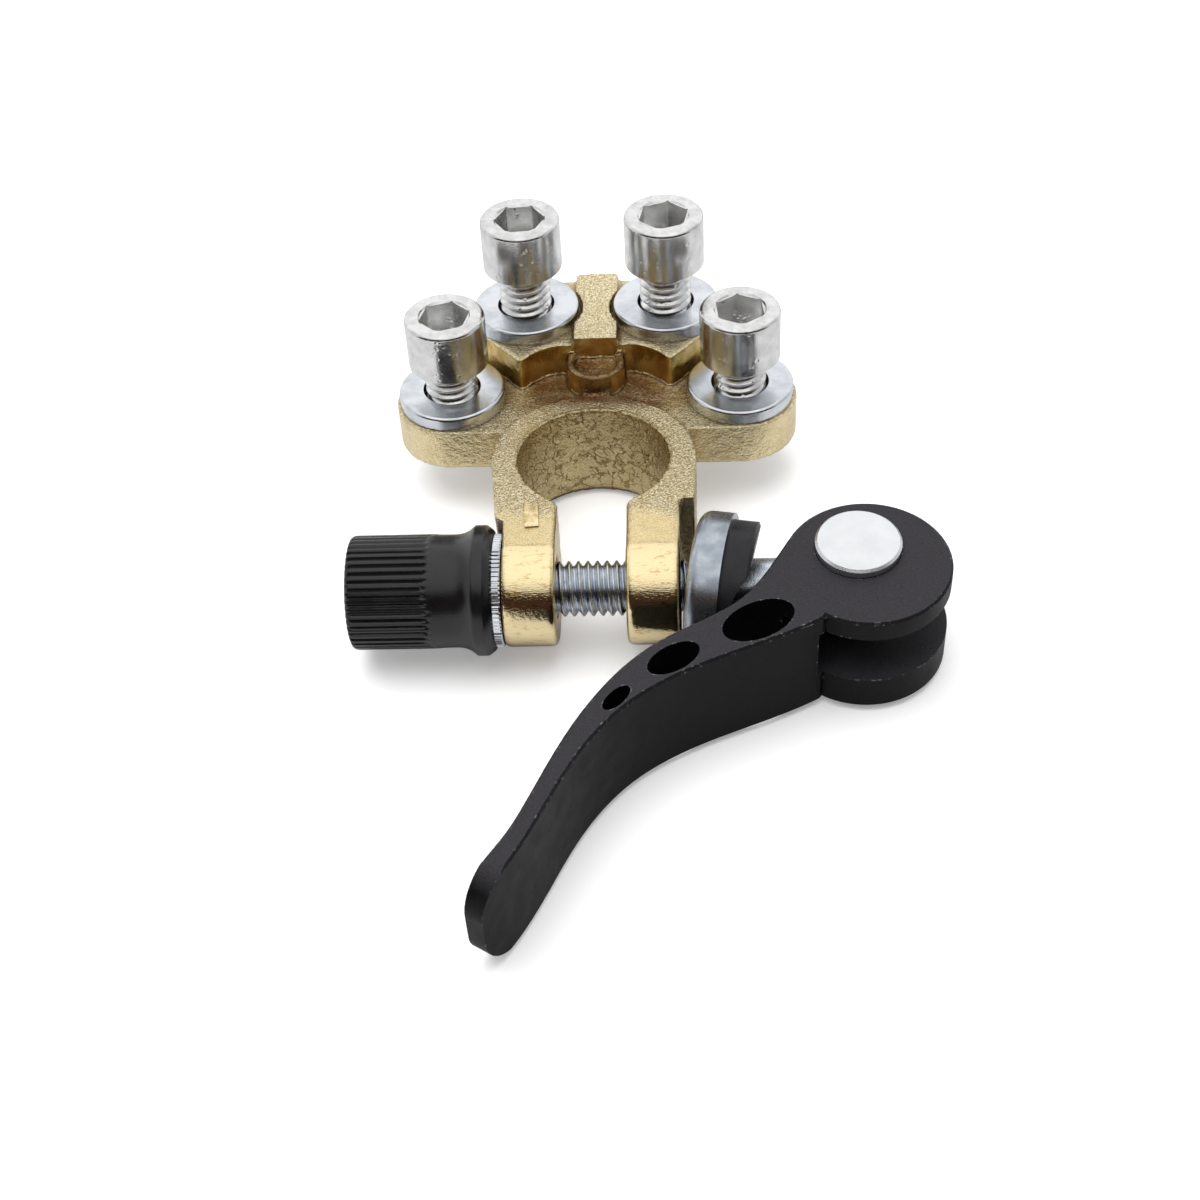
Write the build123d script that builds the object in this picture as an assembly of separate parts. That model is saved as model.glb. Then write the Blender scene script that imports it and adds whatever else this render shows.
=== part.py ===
from build123d import *
from math import atan2, cos, degrees, radians, sin, sqrt
import os

# Battery terminal clamp with a cam lever. Millimetres, +Z up, X along the cross bolt.
# The origin is on the axis of the post bore, where the bore's straight wall begins
# above the lead-in.

# Post ring and jaws
post_bore_radius = 8.2
ring_wall = 2.95
ring_height = 12.0
lead_in_height = 0.9
lead_in_width = 0.6
slot_width = 7.25
jaw_width = 5.65
bolt_stand_off = 3.45
jaw_length = 7.4
flank_taper = 0.8
flank_corner_drop = 1.0
flank_run = 3.4
flank_bulge = 0.7
right_flank_taper = 0.2
nose_rounding = 0.6
spot_face_margin = 0.4
mark_length = 3.9
mark_width = 1.1
mark_height = 0.3
mark_shift = 0.15
mark_margin = 0.35

# Ears and rear plate
ear_thickness = 5.0
ear_drop = 0.8
ear_radius = 6.4
ear_spacing = 32.4
front_row_offset = 0.85
row_spacing = 9.9
plate_thickness = 4.3
plate_spacing = 16.0
plate_side_margin = 5.7
plate_back_margin = 6.8
plate_point_drop = 9.1
plate_point_shift = 0.35
plate_point_slope = 1.18
plate_middle_drop = 6.3
plate_sweep_start = 4.4
plate_sweep_rise = 0.35
plate_sweep_sag = 0.7
plate_sweep_middle = 1.5
plate_back_chamfer = 3.2
plate_rounding = 0.5
strap_height = 1.0
strap_half_width = 2.5
strap_corner = 0.5
washer_gap = 0.35
pad_radius = 3.3
pad_height = 3.1
pad_dish_radius = 2.5
pad_dish_depth = 0.7
pad_overlap = 0.05

# Lug screws and their washers
screw_radius = 2.93
screw_hole_clearance = 0.06
screw_length = 12.0
head_radius = 4.45
head_height = 6.0
head_edge = 0.45
hex_across_flats = 5.0
hex_depth = 3.2
hex_mouth = 0.25
tip_chamfer = 0.7
front_lift = 3.75
rear_lift = 5.35
washer_radius = 6.0
washer_hole_radius = 3.25
washer_thickness = 1.6
washer_edge = 0.4

# Cross bolt, knob and the washer behind it
bolt_radius = 2.93
jaw_hole_clearance = 0.42
bolt_overrun = 3.5
bolt_end_chamfer = 0.6
nut_washer_radius = 5.95
nut_washer_thickness = 1.0
nut_washer_clearance = 0.3
nut_washer_edge = 0.2
knob_radius = 6.05
knob_length = 15.1
grip_length = 8.5
flange_radius = 6.9
flange_width = 1.9
flare_length = 1.6
knob_end_chamfer = 0.5
flange_rounding = 1.1
flute_count = 44
flute_depth = 0.28
insert_radius = 4.4
insert_length = 9.0
thread_clearance = 0.06
bolt_depth_in_knob = 9.6
bolt_end_gap = 0.4

# Thrust cup and cam saddle
cup_radius = 7.85
cup_length = 3.5
cup_base = 1.0
cup_wall = 0.62
cup_edge = 1.2
cup_jaw_gap = 0.2
cup_lean = 11.0
cup_hole_clearance = 0.95
saddle_fit = 0.05
saddle_proud = 2.9
saddle_dip = 2.3
saddle_edge = 0.3
saddle_turn = 90.0
cam_gap = 0.35

# Cam head of the lever and its barrel pin
lever_stand_off = 18.2
lever_drop = 4.5
cam_radius = 8.6
cam_offset_along = 0.86
cam_offset_across = -2.1
upper_ear = 2.4
lower_ear = 4.1
fork_clearance = 0.17
slot_depth = 10.55
slot_heading = 232.0
pin_radius = 4.45
pin_clearance = 0.05
pin_proud = 1.0
pin_recess = 0.3
pin_edge = 0.25
pin_hole_clearance = 0.06

# Arm of the lever: middle line and width at each station, from the barrel pin outwards
arm_start_angle = 149.5
arm_root = (-10.7, -9.5, 6.4)
arm_waist = (-19.2, -14.3, 4.9)
arm_wrist = (-24.8, -19.3, 3.4)
arm_knee = (-29.6, -26.9, 2.2)
arm_grip = (-33.1, -34.7, 2.0)
arm_tip = (-37.4, -41.7, 2.0)
arm_heel_angle = 236.9
arm_heel_step = 0.47
window_lengths = (7.9, 5.9, 3.7)
window_rim = 0.85
window_shift = 0.35
lever_edge = 0.25
tip_rounding = 4.6

# Places that follow from the sizes above
ring_radius = post_bore_radius + ring_wall
ring_bottom = -lead_in_height
ring_top = ring_bottom + ring_height
nose_radius = ring_height / 2
bolt_height = ring_bottom + nose_radius
bolt_reach = ring_radius + bolt_stand_off
jaw_shoulder = bolt_reach - jaw_length
jaw_inner = slot_width / 2
jaw_outer = jaw_inner + jaw_width
ear_top = ring_top - ear_drop
ear_bottom = ear_top - ear_thickness
front_row_y = ring_radius + front_row_offset
rear_row_y = front_row_y + row_spacing
plate_top = ear_top + plate_thickness
plate_half_width = plate_spacing / 2 + plate_side_margin
plate_front = rear_row_y - plate_middle_drop
plate_back = rear_row_y + plate_back_margin
screw_hole_radius = screw_radius + screw_hole_clearance
jaw_hole_radius = bolt_radius + jaw_hole_clearance
fork_gap = 2 * (bolt_radius + fork_clearance)
lever_top = fork_gap / 2 + upper_ear
lever_bottom = -fork_gap / 2 - lower_ear
pivot_x = jaw_outer + lever_stand_off
knob_face = -jaw_outer - nut_washer_thickness
knob_end = knob_face - knob_length
bolt_start = knob_face - bolt_depth_in_knob
bolt_end = pivot_x + bolt_overrun
along_bolt = Plane(origin=(0, -bolt_reach, bolt_height), x_dir=(0, 1, 0), z_dir=(1, 0, 0))
arm = (arm_root, arm_waist, arm_wrist, arm_knee, arm_grip, arm_tip)

# Each lug screw: where it stands, how far it is backed out, how its socket is turned
lug_screws = {
    "front_left": (-ear_spacing / 2, front_row_y, ear_top, front_lift, 17),
    "front_right": (ear_spacing / 2, front_row_y, ear_top, front_lift, 35),
    "rear_left": (-plate_spacing / 2, rear_row_y, plate_top, rear_lift, 4),
    "rear_right": (plate_spacing / 2, rear_row_y, plate_top, rear_lift, 20),
}


def slab(outline, bottom, top):
    """Closed outline drawn on the ground plane, raised between two heights."""
    return extrude(Pos(0, 0, bottom) * make_face(outline), amount=top - bottom)


def rod(radius, start, end):
    """Round bar along the cross bolt's axis."""
    return extrude(along_bolt.offset(start) * Circle(radius), amount=end - start)


def ring_and_jaws():
    """Split post ring whose two jaws end in round noses about the cross bolt."""
    flank_top = (-ring_radius + flank_taper, -jaw_shoulder - flank_corner_drop)
    flank_end = (-jaw_outer, -jaw_shoulder - flank_run)
    flank_middle = ((flank_top[0] + flank_end[0] - flank_bulge) / 2, (flank_top[1] + flank_end[1]) / 2)
    right_shoulder = (ring_radius - right_flank_taper, -jaw_shoulder)
    plan = [
        Line((-ring_radius, 0), flank_top),
        ThreePointArc(flank_top, flank_middle, flank_end),
        Line(flank_end, (-jaw_outer, -bolt_reach)),
        Line((-jaw_outer, -bolt_reach), (jaw_outer, -bolt_reach)),
        Line((jaw_outer, -bolt_reach), (jaw_outer, -jaw_shoulder)),
        Line((jaw_outer, -jaw_shoulder), right_shoulder),
        Line(right_shoulder, (ring_radius, 0)),
        Line((ring_radius, 0), (-ring_radius, 0)),
    ]
    body = slab(plan, ring_bottom, ring_top) + rod(nose_radius, -jaw_outer, jaw_outer)
    body += Pos(0, 0, ring_bottom) * extrude(Circle(ring_radius), amount=ring_height)
    slot_reach = bolt_reach + 2 * nose_radius
    body -= Pos(0, -slot_reach / 2, 0) * Box(slot_width, slot_reach, 4 * ring_height)
    nose_arcs = [e for e in body.edges().filter_by(GeomType.CIRCLE)
                 if abs(e.radius - nose_radius) < 0.01 and abs(e.center().X) > 0.9 * jaw_inner]
    body = fillet(nose_arcs, nose_rounding)
    return body - rod(flange_radius + spot_face_margin, -2 * ring_radius, -jaw_outer)


def plate_outline():
    half_spacing = plate_spacing / 2
    point = (half_spacing + plate_point_shift, rear_row_y - plate_point_drop)
    sweep_start = (half_spacing + plate_point_shift - plate_sweep_start, plate_front + plate_sweep_rise)
    sweep_middle = (half_spacing - plate_sweep_middle, plate_front - plate_sweep_sag)
    shoulder = (plate_half_width, point[1] + (plate_half_width - point[0]) * plate_point_slope)
    right = [
        (strap_half_width, plate_front), sweep_start, sweep_middle, point, shoulder,
        (plate_half_width, plate_back - plate_back_chamfer),
        (plate_half_width - plate_back_chamfer, plate_back),
    ]
    left = [(-x, y) for x, y in right]
    return [
        Line(left[0], right[0]), Line(right[0], right[1]),
        ThreePointArc(right[1], right[2], right[3]),
        Line(right[3], right[4]), Line(right[4], right[5]), Line(right[5], right[6]),
        Line(right[6], left[6]), Line(left[6], left[5]), Line(left[5], left[4]), Line(left[4], left[3]),
        ThreePointArc(left[3], left[2], left[1]), Line(left[1], left[0]),
    ]


def strap():
    """Raised bar between the rear washers, hollowed on both sides to clear them."""
    bar = Pos(0, (plate_front + plate_back) / 2) * Rectangle(2 * strap_half_width, plate_back - plate_front)
    for side in (-1, 1):
        bar -= Pos(side * plate_spacing / 2, rear_row_y) * Circle(washer_radius + washer_gap)
    bar = extrude(Pos(0, 0, plate_top) * bar, amount=strap_height)
    return chamfer(bar.edges().filter_by(Axis.Z).group_by(Axis.Y)[-1], strap_corner)


def dished_pad():
    """Round boss between the ring and the plate, with a dished top."""
    pad = extrude(Circle(pad_radius), amount=pad_height)
    pad -= Pos(0, 0, pad_height) * Cylinder(pad_dish_radius, 2 * pad_dish_depth)
    return Pos(0, ring_radius + pad_radius - pad_overlap, ear_top) * pad


def terminal_body():
    front_row = Pos(0, front_row_y, ear_bottom) * SlotOverall(ear_spacing + 2 * ear_radius, 2 * ear_radius)
    ears = extrude(front_row, amount=ear_thickness)
    plate = slab(plate_outline(), ear_top, plate_top)
    corners = [e for e in plate.edges().filter_by(Axis.Z) if abs(e.center().X) > plate_spacing / 2]
    plate = fillet(corners, plate_rounding)
    for side in (-1, 1):
        washer_space = Pos(side * ear_spacing / 2, front_row_y) * Circle(washer_radius + washer_gap)
        plate -= extrude(Pos(0, 0, ear_top) * washer_space, amount=plate_thickness)
    body = ring_and_jaws() + ears + plate + dished_pad() + strap()
    body -= Cylinder(post_bore_radius, 4 * ring_height)
    mouth = post_bore_radius + lead_in_width
    body -= Pos(0, 0, ring_bottom + lead_in_height / 2) * Cone(mouth, post_bore_radius, lead_in_height)
    body -= rod(jaw_hole_radius, -2 * jaw_outer, 2 * jaw_outer)
    for x, y, seat, lift, turn in lug_screws.values():
        body -= Pos(x, y, 0) * extrude(Circle(screw_hole_radius), amount=2 * plate_top)
    mark_x = -jaw_inner - jaw_width / 2 + mark_shift
    mark_y = -jaw_shoulder - mark_margin - mark_length / 2
    return body + Pos(mark_x, mark_y, ring_top) * Box(mark_width, mark_length, 2 * mark_height)


def flat_washer(radius, hole, thickness, edge):
    disc = extrude(Circle(radius) - Circle(hole), amount=thickness)
    outer = disc.edges().filter_by(GeomType.CIRCLE).group_by(Axis.Z)[-1].sort_by(SortBy.RADIUS)[-1]
    return fillet(outer, edge)


def lug_washer(x, y, seat):
    return Pos(x, y, seat) * flat_washer(washer_radius, washer_hole_radius, washer_thickness, washer_edge)


def lug_screw(x, y, seat, lift, turn):
    """Socket head screw, backed out by lift from its washer."""
    profile = Polyline(
        (0, -screw_length), (screw_radius - tip_chamfer, -screw_length),
        (screw_radius, -screw_length + tip_chamfer), (screw_radius, 0), (head_radius, 0),
        (head_radius, head_height - head_edge), (head_radius - head_edge, head_height),
        (0, head_height), close=True)
    screw = revolve(Plane.XZ * make_face(profile), Axis.Z)
    socket = RegularPolygon(hex_across_flats / 2, 6, major_radius=False)
    screw -= Pos(0, 0, head_height - hex_depth) * extrude(socket, amount=hex_depth)
    mouth = hex_across_flats / sqrt(3)
    screw -= Pos(0, 0, head_height - hex_mouth / 2) * Cone(mouth - 2 * hex_mouth, mouth, hex_mouth)
    return Pos(x, y, seat + washer_thickness + lift) * Rot(0, 0, turn) * screw


def clamp_bolt():
    bolt = rod(bolt_radius, bolt_start, bolt_end)
    return chamfer(bolt.edges().filter_by(GeomType.CIRCLE), bolt_end_chamfer)


def nut_washer():
    hole = bolt_radius + nut_washer_clearance
    washer = flat_washer(nut_washer_radius, hole, nut_washer_thickness, nut_washer_edge)
    return along_bolt.offset(-jaw_outer) * Rot(180, 0, 0) * washer


def knob():
    """Grip with straight flutes, a plain neck and a flared flange against the washer."""
    flange_back = knob_face - flange_width
    profile = Polyline(
        (0, knob_end), (knob_radius, knob_end), (knob_radius, flange_back - flare_length),
        (flange_radius, flange_back), (flange_radius, knob_face), (0, knob_face), close=True)
    turned = revolve(Plane.XZ * make_face(profile), Axis.Z)
    turned = chamfer(turned.edges().filter_by(GeomType.CIRCLE).group_by(Axis.Z)[0], knob_end_chamfer)
    turned = fillet(turned.edges().filter_by(GeomType.CIRCLE).group_by(Axis.Z)[-1], flange_rounding)
    flute = Rot(0, 0, 45) * Rectangle(sqrt(2) * flute_depth, sqrt(2) * flute_depth)
    flute = Pos(knob_radius, 0, knob_end - 1) * extrude(flute, amount=grip_length + 1)
    turned -= [Rot(0, 0, k * 360 / flute_count) * flute for k in range(flute_count)]
    bore_start = knob_face - bolt_depth_in_knob - bolt_end_gap
    turned -= Pos(0, 0, bore_start) * extrude(Circle(bolt_radius + thread_clearance), amount=knob_length)
    turned -= Pos(0, 0, knob_face - insert_length) * extrude(Circle(insert_radius), amount=insert_length)
    return along_bolt * turned


def knob_insert():
    start = knob_face - insert_length
    return rod(insert_radius, start, knob_face) - rod(bolt_radius + thread_clearance, start, knob_face)


def cup_place():
    """Rest place of the cup: leaning about a vertical line, its front edge close to the jaw."""
    lean = radians(cup_lean)
    middle = (cup_length + saddle_proud - saddle_dip) / 2
    front_edge = (cup_radius - cup_edge) * sin(lean) + middle * cos(lean) - cup_edge * (1 - cos(lean))
    centre = (jaw_outer + cup_jaw_gap + front_edge, -bolt_reach, bolt_height)
    return Location(centre, (0, 0, -cup_lean)) * Location((0, 0, 0), (0, 90, 0)) * Pos(0, 0, -middle)


def thrust_cup():
    cup = extrude(Circle(cup_radius), amount=cup_length)
    cup = fillet(cup.edges().group_by(Axis.Z)[0], cup_edge)
    cup -= Pos(0, 0, cup_base) * extrude(Circle(cup_radius - cup_wall), amount=cup_length)
    cup -= extrude(Circle(bolt_radius + cup_hole_clearance), amount=cup_length)
    return cup_place() * cup


def saddle():
    """Bearing block in the cup, hollowed across for the cams."""
    block_radius = cup_radius - cup_wall - saddle_fit
    lip = cup_length + saddle_proud
    block = Pos(0, 0, cup_base) * extrude(Circle(block_radius), amount=lip - cup_base)
    block = chamfer(block.edges().group_by(Axis.Z)[-1], saddle_edge)
    hollow_radius = cam_radius + cam_gap
    hollow = Location((0, 0, lip - saddle_dip + hollow_radius), (0, 90, 0))
    block -= hollow * Cylinder(hollow_radius, 4 * cup_radius)
    block -= extrude(Circle(bolt_radius + cup_hole_clearance), amount=2 * lip)
    return cup_place() * Rot(0, 0, saddle_turn) * block


def lever_place():
    """Local X runs along the bolt and local Z along the barrel pin, tipped so the tip lies low."""
    return Location((pivot_x, -bolt_reach, bolt_height), (lever_drop, 0, 0))


def arm_heading(k):
    """Direction of the arm at a station, taken from the stations on both sides of it."""
    before = arm[max(k - 1, 0)]
    after = arm[min(k + 1, len(arm) - 1)]
    return atan2(after[1] - before[1], after[0] - before[0])


def arm_side(k, distance):
    """Point beside a station of the arm; positive distances lie on the inner side."""
    x, y, width = arm[k]
    heading = arm_heading(k)
    return (x - distance * sin(heading), y + distance * cos(heading))


def lever_outline():
    """Arm from the cam head to the tip, closed through the middle of the cam head."""
    start = radians(arm_start_angle)
    end = radians(arm_heel_angle)
    head = (cam_offset_along, cam_offset_across)
    shoulder = (head[0] + cam_radius * cos(start), head[1] + cam_radius * sin(start))
    heel_reach = cam_radius + arm_heel_step
    heel = (head[0] + heel_reach * cos(end), head[1] + heel_reach * sin(end))
    outer = Spline(
        [shoulder] + [arm_side(k, -arm[k][2] / 2) for k in range(len(arm))],
        tangents=[(-sin(start), cos(start)), (cos(arm_heading(5)), sin(arm_heading(5)))])
    inner = Spline([arm_side(k, arm[k][2] / 2) for k in reversed(range(len(arm)))] + [heel])
    return [outer, Line(outer @ 1, inner @ 0), inner, Line(inner @ 1, head), Line(head, outer @ 0)]


def tip_corners():
    """What is cut from the end of the lever, so that its tip is round seen from the side."""
    height = lever_top - lever_bottom
    reach = 2 * height
    waste = Pos(0, 0, lever_bottom + height / 2) * Box(reach, height, reach)
    keep = Pos(-reach / 2, 0, lever_bottom + height / 2) * Box(reach, 2 * height, height)
    keep = fillet(keep.edges().filter_by(Axis.Y).group_by(Axis.X)[-1], tip_rounding)
    last = len(arm) - 1
    return Location((arm[last][0], arm[last][1], 0), (0, 0, degrees(arm_heading(last)))) * (waste - keep)


def edged_slab(plan):
    """Outline of the lever at its full thickness, with both rims chamfered."""
    body = extrude(Pos(0, 0, lever_bottom) * plan, amount=lever_top - lever_bottom)
    rims = body.edges().group_by(Axis.Z)
    return chamfer(rims[0] + rims[-1], lever_edge)


def cam_lever():
    """Forked lever: two cam ears on the barrel pin, an arm with three oval windows."""
    lever = edged_slab(Pos(cam_offset_along, cam_offset_across) * Circle(cam_radius))
    lever += edged_slab(make_face(lever_outline()))
    lever -= tip_corners()
    slot = Pos(3 * cam_radius - slot_depth, 0, 0) * Box(6 * cam_radius, 6 * cam_radius, fork_gap)
    lever -= Rot(0, 0, slot_heading + 180) * slot
    lever -= Cylinder(pin_radius + pin_clearance, 4 * lever_top)
    for k, length in enumerate(window_lengths):
        x, y = arm_side(k, window_shift)
        window = Ellipse(length / 2, arm[k][2] / 2 - window_rim, rotation=degrees(arm_heading(k)))
        lever -= Pos(x, y, 2 * lever_bottom) * extrude(window, amount=4 * lever_top)
    return lever_place() * lever


def barrel_pin():
    bottom = lever_bottom + pin_recess
    pin = Pos(0, 0, bottom) * extrude(Circle(pin_radius), amount=lever_top + pin_proud - bottom)
    pin = chamfer(pin.edges().filter_by(GeomType.CIRCLE), pin_edge)
    cross = Location((0, 0, 0), (0, 90, 0)) * Cylinder(bolt_radius + pin_hole_clearance, 4 * pin_radius)
    return lever_place() * (pin - cross)


nodes = {
    "terminal_body": terminal_body(),
    "clamp_bolt": clamp_bolt(),
    "nut_washer": nut_washer(),
    "knob": knob(),
    "knob_insert": knob_insert(),
    "thrust_cup": thrust_cup(),
    "saddle": saddle(),
    "cam_lever": cam_lever(),
    "barrel_pin": barrel_pin(),
}
for place, (x, y, seat, lift, turn) in lug_screws.items():
    nodes["washer_" + place] = lug_washer(x, y, seat)
    nodes["screw_" + place] = lug_screw(x, y, seat, lift, turn)

os.makedirs("parts", exist_ok=True)
for name, shape in nodes.items():
    solids = shape.solids()
    export_step(solids[0] if len(solids) == 1 else Compound(solids), "parts/" + name + ".step")
    print(name, len(solids), round(shape.volume, 1))
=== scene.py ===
import bpy
from math import radians, sin, pi, hypot, atan2, sqrt
from mathutils import Matrix, Vector


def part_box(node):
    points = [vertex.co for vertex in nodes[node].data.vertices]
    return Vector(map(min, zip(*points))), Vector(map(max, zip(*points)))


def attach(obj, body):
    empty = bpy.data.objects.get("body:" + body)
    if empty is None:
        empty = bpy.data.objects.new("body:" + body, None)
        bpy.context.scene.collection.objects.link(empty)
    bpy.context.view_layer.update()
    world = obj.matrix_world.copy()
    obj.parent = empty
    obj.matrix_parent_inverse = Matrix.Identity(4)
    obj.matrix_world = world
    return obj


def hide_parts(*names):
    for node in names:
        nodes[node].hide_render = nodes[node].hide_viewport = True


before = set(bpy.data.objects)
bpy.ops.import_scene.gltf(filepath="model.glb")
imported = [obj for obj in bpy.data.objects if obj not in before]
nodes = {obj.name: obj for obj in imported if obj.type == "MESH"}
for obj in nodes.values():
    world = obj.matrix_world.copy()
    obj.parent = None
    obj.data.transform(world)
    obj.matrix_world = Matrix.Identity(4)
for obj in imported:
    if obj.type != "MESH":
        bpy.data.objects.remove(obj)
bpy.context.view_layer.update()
mm = 0.001
print("loaded", len(nodes), "nodes")


# small helpers
def clearSelection():
    if bpy.context.object and bpy.context.object.mode != "OBJECT":
        bpy.ops.object.mode_set(mode="OBJECT")
    bpy.ops.object.select_all(action="DESELECT")


def pick(obj):
    clearSelection()
    obj.select_set(True)
    bpy.context.view_layer.objects.active = obj
    return obj


def editAll(obj):
    pick(obj)
    bpy.ops.object.mode_set(mode="EDIT")
    bpy.ops.mesh.select_all(action="SELECT")


def applyModifier(obj, kind, **settings):
    pick(obj)
    modifier = obj.modifiers.new(kind.lower(), kind)
    for key, value in settings.items():
        setattr(modifier, key, value)
    bpy.ops.object.modifier_apply(modifier=modifier.name)
    return obj


def bakePlace(obj):
    pick(obj)
    bpy.ops.object.transform_apply(location=True, rotation=True, scale=True)
    return obj


def movedBy(obj, matrix):
    obj.matrix_world = matrix
    return bakePlace(obj)


def copyOfPiece(source, newName):
    copy = source.copy()
    copy.data = source.data.copy()
    copy.name = newName
    bpy.context.scene.collection.objects.link(copy)
    return copy


def joinPieces(target, *others):
    clearSelection()
    for other in others:
        other.select_set(True)
    target.select_set(True)
    bpy.context.view_layer.objects.active = target
    bpy.ops.object.join()
    return target


def combine(target, tool, operation):
    applyModifier(target, "BOOLEAN", operation=operation, object=tool, solver="EXACT")
    bpy.data.objects.remove(tool)
    return target


def smoothBelow(obj, degreesLimit):
    pick(obj)
    bpy.ops.object.shade_smooth_by_angle(angle=radians(degreesLimit))
    return obj


def copyOfNode(nodeName, newName):
    copy = bpy.data.objects.new(newName, nodes[nodeName].data.copy())
    bpy.context.scene.collection.objects.link(copy)
    copy.data.materials.clear()
    editAll(copy)
    bpy.ops.mesh.remove_doubles(threshold=0.002 * mm)     # loose triangles become one skin
    bpy.ops.object.mode_set(mode="OBJECT")
    return copy


def drawnProfile(name, points):
    bpy.ops.mesh.primitive_plane_add(size=mm)
    profile = bpy.context.object
    profile.name = name
    bpy.ops.object.mode_set(mode="EDIT")
    bpy.ops.mesh.select_mode(type="VERT")
    bpy.ops.mesh.select_all(action="SELECT")
    bpy.ops.mesh.merge(type="CENTER")
    bpy.ops.transform.translate(value=(points[0][0] * mm, 0, points[0][1] * mm))
    for before, after in zip(points, points[1:]):
        step = ((after[0] - before[0]) * mm, 0, (after[1] - before[1]) * mm)
        bpy.ops.mesh.extrude_region_move(TRANSFORM_OT_translate={"value": step})
    bpy.ops.object.mode_set(mode="OBJECT")
    return profile


# camera, world and floor
view = {
    "place": (10.43, -167.62, 145.62), "right": (0.99875, 0.02153, -0.04526),
    "up": (0.01848, 0.68126, 0.73180), "back": (0.04659, -0.73172, 0.68001), "lens": 59.44,
    "sensor": 36, "nearest": 5,
}
camera = bpy.data.objects.new("camera", bpy.data.cameras.new("camera"))
bpy.context.scene.collection.objects.link(camera)
camera.matrix_world = Matrix([
    [view["right"][i], view["up"][i], view["back"][i], view["place"][i] * mm] for i in range(3)]
    + [[0, 0, 0, 1]])
camera.data.lens = view["lens"]
camera.data.sensor_width = view["sensor"]
camera.data.sensor_fit = "HORIZONTAL"
camera.data.clip_start = view["nearest"] * mm
bpy.context.scene.camera = camera
bpy.context.scene.view_settings.view_transform = "Standard"


def addNode(tree, kind, **settings):
    node = tree.nodes.new(kind)
    for key, value in settings.items():
        setattr(node, key, value)
    return node


def wire(tree, value, socket):
    if isinstance(value, (int, float, tuple)):
        socket.default_value = value
    else:
        tree.links.new(value, socket)


def maths(tree, operation, a, b=0.0):
    node = addNode(tree, "ShaderNodeMath", operation=operation)
    wire(tree, a, node.inputs[0])
    wire(tree, b, node.inputs[1])
    return node.outputs[0]


def times(tree, first, *others):
    for other in others:
        first = maths(tree, "MULTIPLY", first, other)
    return first


def remap(tree, value, low, high, toLow=0.0, toHigh=1.0, smooth=False):
    node = addNode(tree, "ShaderNodeMapRange", interpolation_type="SMOOTHSTEP" if smooth else "LINEAR")
    wire(tree, value, node.inputs[0])
    for socket, number in zip(node.inputs[1:5], (low, high, toLow, toHigh)):
        socket.default_value = number
    return node.outputs[0]


def between(tree, along, start, end, smooth=False):       # 0 at the start, 1 at the end, both in mm
    return remap(tree, along, start * mm, end * mm, smooth=smooth)


def blendColours(tree, share, first, second):
    node = addNode(tree, "ShaderNodeMix", data_type="RGBA")
    wire(tree, share, node.inputs[0])
    for value, socket in ((first, node.inputs[6]), (second, node.inputs[7])):
        wire(tree, (*value, 1.0) if isinstance(value, tuple) and len(value) == 3 else value, socket)
    return node.outputs[2]


def objectPlace(tree):
    return addNode(tree, "ShaderNodeTexCoord").outputs["Object"]


def axesOf(tree, vector):
    node = addNode(tree, "ShaderNodeSeparateXYZ")
    tree.links.new(vector, node.inputs[0])
    return node.outputs


def noise(tree, place, size, detail=4.0, rough=0.55, stretch=None, seed=0.0):
    if stretch or seed:
        mapping = addNode(tree, "ShaderNodeMapping")
        tree.links.new(place, mapping.inputs[0])
        mapping.inputs["Scale"].default_value = stretch or (1, 1, 1)
        mapping.inputs["Location"].default_value = (seed, seed, seed)
        place = mapping.outputs[0]
    node = addNode(tree, "ShaderNodeTexNoise")
    tree.links.new(place, node.inputs["Vector"])
    node.inputs["Scale"].default_value = 1 / (size * mm)
    node.inputs["Detail"].default_value = detail
    node.inputs["Roughness"].default_value = rough
    return node.outputs["Fac"]


def grains(tree, place, size):
    node = addNode(tree, "ShaderNodeTexVoronoi")
    tree.links.new(place, node.inputs["Vector"])
    node.inputs["Scale"].default_value = 1 / (size * mm)
    return node.outputs["Distance"]


def bump(tree, height, depth, before=None):
    node = addNode(tree, "ShaderNodeBump")
    node.inputs["Strength"].default_value = 1.0
    node.inputs["Distance"].default_value = depth * mm
    tree.links.new(height, node.inputs["Height"])
    if before:
        tree.links.new(before, node.inputs["Normal"])
    return node.outputs[0]


# the sky that the metal mirrors: each part has its colour and the stretch of direction where it fades in
sky = {
    "leftSide": (0.78, 0.79, 0.80), "rightSide": (0.62, 0.63, 0.65), "sideX": (-0.2, 0.9),
    "behind": (1.08, 1.08, 1.09), "behindY": (0.25, 0.60),
    "ahead": (0.90, 0.90, 0.90), "aheadY": (-0.15, -0.45),
    "room": (0.045, 0.026, 0.017), "roomZ": (0.67, 0.57),       # dim, low in front
    "overhead": (1.15, 1.15, 1.15), "overheadZ": (0.74, 0.93),
    "seen": (1.0, 1.0, 1.0),
}


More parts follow.
